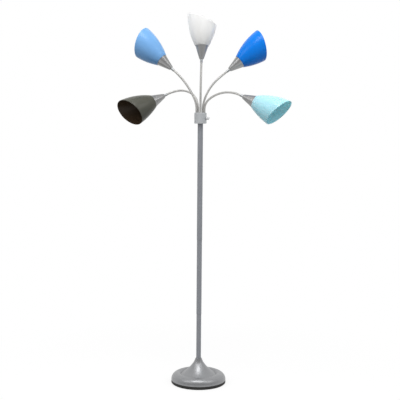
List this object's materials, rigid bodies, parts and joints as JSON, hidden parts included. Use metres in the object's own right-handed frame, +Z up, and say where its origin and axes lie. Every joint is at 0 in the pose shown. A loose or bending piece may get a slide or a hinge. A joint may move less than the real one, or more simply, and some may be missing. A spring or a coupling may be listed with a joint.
{
  "type": "gooseneck floor lamp",
  "caption": "Floor lamp with a weighted round base, a sleeved pole, a hub with a rotary switch, and bendable goosenecks that carry obliquely cut tulip shades.",
  "frame": {"origin": "on the floor under the middle of the base", "axes": "+Z up along the pole, -Y towards the front of the lamp, +X to the right seen from the front"},
  "size_m": [0.7776, 0.3592, 1.6999],
  "materials": {
    "black_rubber": "matte",
    "cement": "rough",
    "zinc_steel": "satin",
    "silver_paint": "satin",
    "hub_coat": "fine powder coat",
    "switch_can": "satin",
    "knob_plastic": "gloss",
    "neck_steel": "finely ribbed",
    "ferrule_chrome": "polished",
    "cup_silver": "satin",
    "black_plastic": "matte",
    "socket_metal": "satin",
    "shade_white_plastic": "soft gloss",
    "shade_aqua_plastic": "soft gloss",
    "shade_royal_plastic": "soft gloss",
    "shade_grey_plastic": "soft gloss",
    "shade_sky_plastic": "soft gloss"
  },
  "bodies": {
    "stand": {"base_pad": "black_rubber", "base_weight": "cement", "base_bolt": "zinc_steel", "base_cover": "silver_paint", "cord_grommet": "black_rubber", "pole_lower": "silver_paint", "pole_middle": "silver_paint", "pole_upper": "silver_paint", "hub_body": "hub_coat", "hub_cap": "hub_coat", "hub_nut": "zinc_steel", "neck_nuts": "zinc_steel", "switch_body": "switch_can", "switch_nut": "ferrule_chrome", "neck_root_white": "neck_steel", "neck_root_aqua": "neck_steel", "neck_root_royal": "neck_steel", "neck_root_grey": "neck_steel", "neck_root_sky": "neck_steel"},
    "knob": {"switch_knob": "knob_plastic"},
    "white_arm": {"neck_middle_white": "neck_steel"},
    "white_head": {"neck_tip_white": "neck_steel", "ferrule_white": "ferrule_chrome", "cup_white": "cup_silver", "lampholder_white": "black_plastic", "screw_shell_white": "socket_metal", "shade_white": "shade_white_plastic", "shade_ring_white": "black_plastic"},
    "aqua_arm": {"neck_middle_aqua": "neck_steel"},
    "aqua_head": {"neck_tip_aqua": "neck_steel", "ferrule_aqua": "ferrule_chrome", "cup_aqua": "cup_silver", "lampholder_aqua": "black_plastic", "screw_shell_aqua": "socket_metal", "shade_aqua": "shade_aqua_plastic", "shade_ring_aqua": "black_plastic"},
    "royal_arm": {"neck_middle_royal": "neck_steel"},
    "royal_head": {"neck_tip_royal": "neck_steel", "ferrule_royal": "ferrule_chrome", "cup_royal": "cup_silver", "lampholder_royal": "black_plastic", "screw_shell_royal": "socket_metal", "shade_royal": "shade_royal_plastic", "shade_ring_royal": "black_plastic"},
    "grey_arm": {"neck_middle_grey": "neck_steel"},
    "grey_head": {"neck_tip_grey": "neck_steel", "ferrule_grey": "ferrule_chrome", "cup_grey": "cup_silver", "lampholder_grey": "black_plastic", "screw_shell_grey": "socket_metal", "shade_grey": "shade_grey_plastic", "shade_ring_grey": "black_plastic"},
    "sky_arm": {"neck_middle_sky": "neck_steel"},
    "sky_head": {"neck_tip_sky": "neck_steel", "ferrule_sky": "ferrule_chrome", "cup_sky": "cup_silver", "lampholder_sky": "black_plastic", "screw_shell_sky": "socket_metal", "shade_sky": "shade_sky_plastic", "shade_ring_sky": "black_plastic"}
  },
  "joints": [
    {"name": "switch_turn", "type": "hinge", "parent": "stand", "child": "knob", "pos_m": [0.03334, -0.01485, 1.2255], "axis": [0.9135, -0.4067, 0], "continuous": true},
    {"name": "white_neck_tilt", "type": "hinge", "parent": "stand", "child": "white_arm", "pos_m": [0, -0.0188, 1.318], "axis": [0.9945, -0.1045, 0], "range_deg": [-35, 35]},
    {"name": "white_neck_sway", "type": "hinge", "parent": "white_arm", "child": "white_head", "pos_m": [0.00123, -0.00713, 1.42515], "axis": [0.1021, 0.9709, -0.2164], "range_deg": [-25, 25]},
    {"name": "aqua_neck_swing", "type": "hinge", "parent": "stand", "child": "aqua_arm", "pos_m": [0.03878, -0.01555, 1.31075], "axis": [0.5517, -0.2573, -0.7934], "range_deg": [-35, 35]},
    {"name": "aqua_neck_nod", "type": "hinge", "parent": "aqua_arm", "child": "aqua_head", "pos_m": [0.13054, -0.05834, 1.34075], "axis": [0.4226, 0.9063, 0], "range_deg": [-35, 35]},
    {"name": "royal_neck_swing", "type": "hinge", "parent": "stand", "child": "royal_arm", "pos_m": [0.02038, 0.01728, 1.31686], "axis": [0.9145, 0.2027, -0.3502], "range_deg": [-35, 35]},
    {"name": "royal_neck_nod", "type": "hinge", "parent": "royal_arm", "child": "royal_head", "pos_m": [0.07951, 0.03039, 1.40498], "axis": [-0.2164, 0.9763, 0], "range_deg": [-30, 35]},
    {"name": "grey_neck_swing", "type": "hinge", "parent": "stand", "child": "grey_arm", "pos_m": [-0.02075, 0.03073, 1.31361], "axis": [-0.403, 0.6449, -0.6494], "range_deg": [-35, 35]},
    {"name": "grey_neck_nod", "type": "hinge", "parent": "grey_arm", "child": "grey_head", "pos_m": [-0.10651, 0.06557, 1.35021], "axis": [-0.0995, -0.8267, 0.5537], "range_deg": [-35, 35]},
    {"name": "sky_neck_swing", "type": "hinge", "parent": "stand", "child": "sky_arm", "pos_m": [-0.0293, -0.00199, 1.31617], "axis": [-0.8523, 0.2852, -0.4384], "range_deg": [-35, 30]},
    {"name": "sky_neck_nod", "type": "hinge", "parent": "sky_arm", "child": "sky_head", "pos_m": [-0.08674, 0.01723, 1.40513], "axis": [-0.3173, -0.9483, 0], "range_deg": [-35, 35]}
  ]
}
